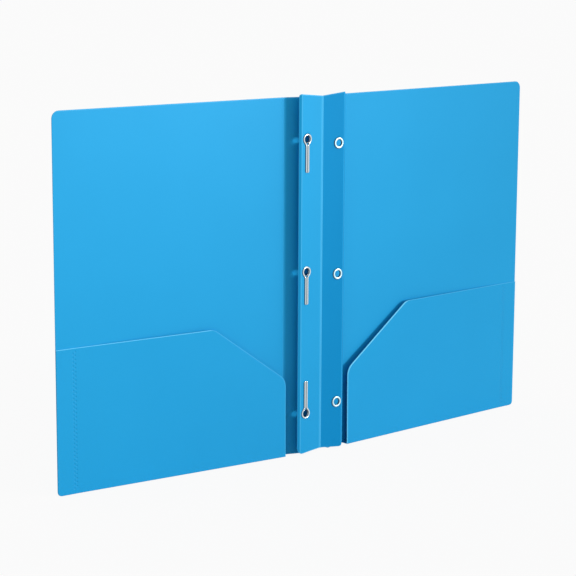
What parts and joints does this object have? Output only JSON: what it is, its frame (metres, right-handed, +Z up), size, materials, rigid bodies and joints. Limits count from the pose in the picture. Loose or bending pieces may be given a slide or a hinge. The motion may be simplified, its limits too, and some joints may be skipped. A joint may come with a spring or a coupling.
{
  "type": "two pocket folder",
  "caption": "Open pocket folder of blue sheet plastic with a folding strip of bendable prongs and metal eyelets.",
  "frame": {"origin": "on the standing plane, under the middle of the folder's overall box", "axes": "+Z up along the spine, +X along the opened folder towards the right cover, -Y out of the inside"},
  "size_m": [0.4836, 0.0222, 0.2978],
  "materials": {
    "cover_sheet": "satin blue sheet",
    "strip_sheet": "satin blue sheet",
    "prong_metal": "nickel plate",
    "eyelet_metal": "nickel plate"
  },
  "bodies": {
    "left_panel": {"left_hinge_panel": "cover_sheet", "strip_seam": "strip_sheet"},
    "left_cover": {"left_cover": "cover_sheet", "left_pocket": "cover_sheet"},
    "right_panel": {"right_hinge_panel": "cover_sheet"},
    "right_cover": {"right_cover": "cover_sheet", "right_pocket": "cover_sheet"},
    "prong_wing": {"prong_wing": "strip_sheet", "prong_base_top": "prong_metal", "prong_base_middle": "prong_metal", "prong_base_bottom": "prong_metal"},
    "eyelet_wing": {"eyelet_wing": "strip_sheet", "eyelet_top": "eyelet_metal", "eyelet_middle": "eyelet_metal", "eyelet_bottom": "eyelet_metal"},
    "prong_top_outer_leg": {"prong_top_outer_leg": "prong_metal"},
    "prong_top_inner_leg": {"prong_top_inner_leg": "prong_metal"},
    "prong_middle_outer_leg": {"prong_middle_outer_leg": "prong_metal"},
    "prong_middle_inner_leg": {"prong_middle_inner_leg": "prong_metal"},
    "prong_bottom_outer_leg": {"prong_bottom_outer_leg": "prong_metal"},
    "prong_bottom_inner_leg": {"prong_bottom_inner_leg": "prong_metal"}
  },
  "joints": [
    {"name": "spine_fold", "type": "hinge", "parent": "left_panel", "child": "right_panel", "pos_m": [0, -0.00944, 0.15], "axis": [0, 0, -1], "range_deg": [0, 173.6]},
    {"name": "left_score_fold", "type": "hinge", "parent": "left_panel", "child": "left_cover", "pos_m": [-0.03099, 0.00193, 0.1475], "axis": [0, 0, -1], "range_deg": [-5.6, 80]},
    {"name": "right_score_fold", "type": "hinge", "parent": "right_panel", "child": "right_cover", "pos_m": [0.03099, 0.00193, 0.1475], "axis": [0, 0, 1], "range_deg": [-5.6, 80]},
    {"name": "prong_wing_fold", "type": "hinge", "parent": "left_panel", "child": "prong_wing", "pos_m": [0, -0.00944, 0.15], "axis": [0, 0, -1], "range_deg": [0, 11.2]},
    {"name": "eyelet_wing_fold", "type": "hinge", "parent": "right_panel", "child": "eyelet_wing", "pos_m": [0, -0.00944, 0.15], "axis": [0, 0, 1], "range_deg": [-162, 11.2]},
    {"name": "top_outer_leg_bend", "type": "hinge", "parent": "prong_wing", "child": "prong_top_outer_leg", "pos_m": [-0.01635, -0.011, 0.2565], "axis": [-0.9992, -0.0401, 0], "range_deg": [0, 180]},
    {"name": "top_inner_leg_bend", "type": "hinge", "parent": "prong_wing", "child": "prong_top_inner_leg", "pos_m": [-0.01635, -0.011, 0.2565], "axis": [-0.9992, -0.0401, 0], "range_deg": [0, 180]},
    {"name": "middle_outer_leg_bend", "type": "hinge", "parent": "prong_wing", "child": "prong_middle_outer_leg", "pos_m": [-0.01635, -0.011, 0.1485], "axis": [-0.9992, -0.0401, 0], "range_deg": [0, 180]},
    {"name": "middle_inner_leg_bend", "type": "hinge", "parent": "prong_wing", "child": "prong_middle_inner_leg", "pos_m": [-0.01635, -0.011, 0.1485], "axis": [-0.9992, -0.0401, 0], "range_deg": [0, 180]},
    {"name": "bottom_outer_leg_bend", "type": "hinge", "parent": "prong_wing", "child": "prong_bottom_outer_leg", "pos_m": [-0.01635, -0.011, 0.0405], "axis": [0.9992, 0.0401, 0], "range_deg": [0, 180]},
    {"name": "bottom_inner_leg_bend", "type": "hinge", "parent": "prong_wing", "child": "prong_bottom_inner_leg", "pos_m": [-0.01635, -0.011, 0.0405], "axis": [0.9992, 0.0401, 0], "range_deg": [0, 180]}
  ],
  "couplings": [
    {"joint": "prong_wing_fold", "follows": "spine_fold", "ratio": 0.064516}
  ]
}
